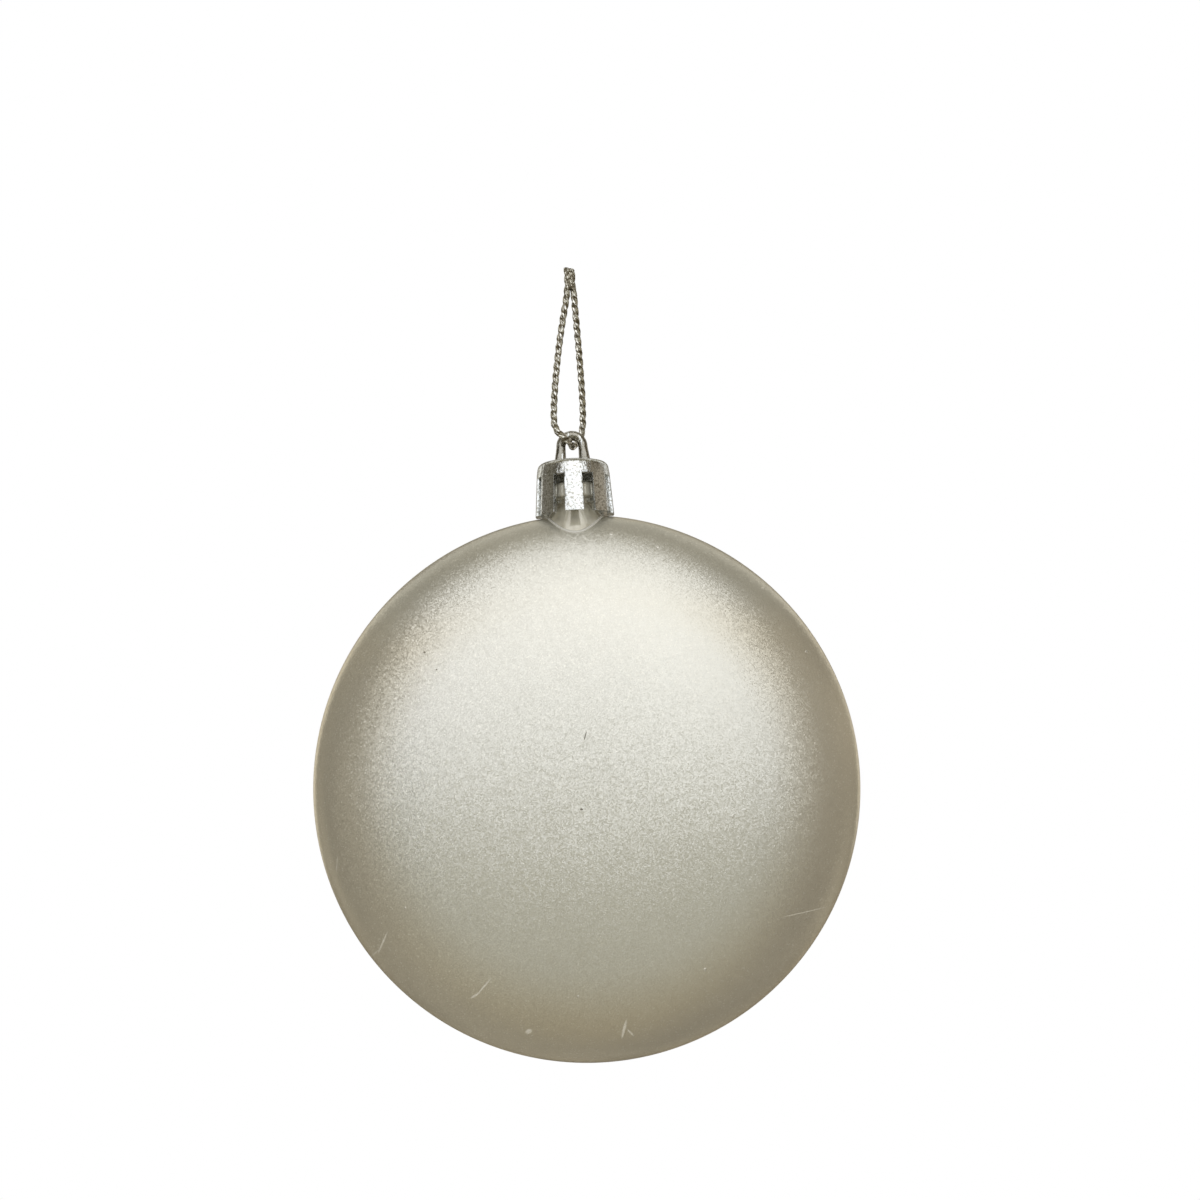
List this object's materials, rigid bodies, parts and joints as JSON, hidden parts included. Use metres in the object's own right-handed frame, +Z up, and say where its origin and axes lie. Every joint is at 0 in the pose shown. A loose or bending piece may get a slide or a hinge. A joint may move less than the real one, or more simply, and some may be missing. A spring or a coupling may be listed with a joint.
{
  "type": "disc ornament",
  "caption": "Flat round hollow hanging ornament in satin pearl plastic, with a silver vented push-on cap, moulded eye and a short metallic cord loop.",
  "frame": {"origin": "the hanging point: the top of the open cord loop, on the plumb line through the eye, the neck and the disc", "axes": "+Z up along the plumb line, +Y through the disc from its front face to its back face, +X to the right seen from the front"},
  "size_m": [0.08, 0.02, 0.1171],
  "materials": {
    "pearl_shell": "satin pearlescent champagne paint with a fine sparkle",
    "glossy_neck": "glossy unpainted plastic",
    "silvered_cap": "mirror silver metallised plastic",
    "silver_cord": "twisted silver metallic thread"
  },
  "bodies": {
    "cord": {"cord_loop": "silver_cord", "cord_weld": "silver_cord"},
    "cap": {"hanger_cap": "silvered_cap"},
    "disc": {"front_shell": "pearl_shell", "back_shell": "pearl_shell", "neck": "glossy_neck"}
  },
  "joints": [
    {"name": "eye_swing", "type": "hinge", "parent": "cord", "child": "cap", "pos_m": [0, 0, -0.02262], "axis": [0, 1, 0], "range_deg": [-62, 62]},
    {"name": "cap_turn", "type": "hinge", "parent": "cap", "child": "disc", "pos_m": [0, 0, -0.03], "axis": [0, 0, 1], "continuous": true}
  ]
}
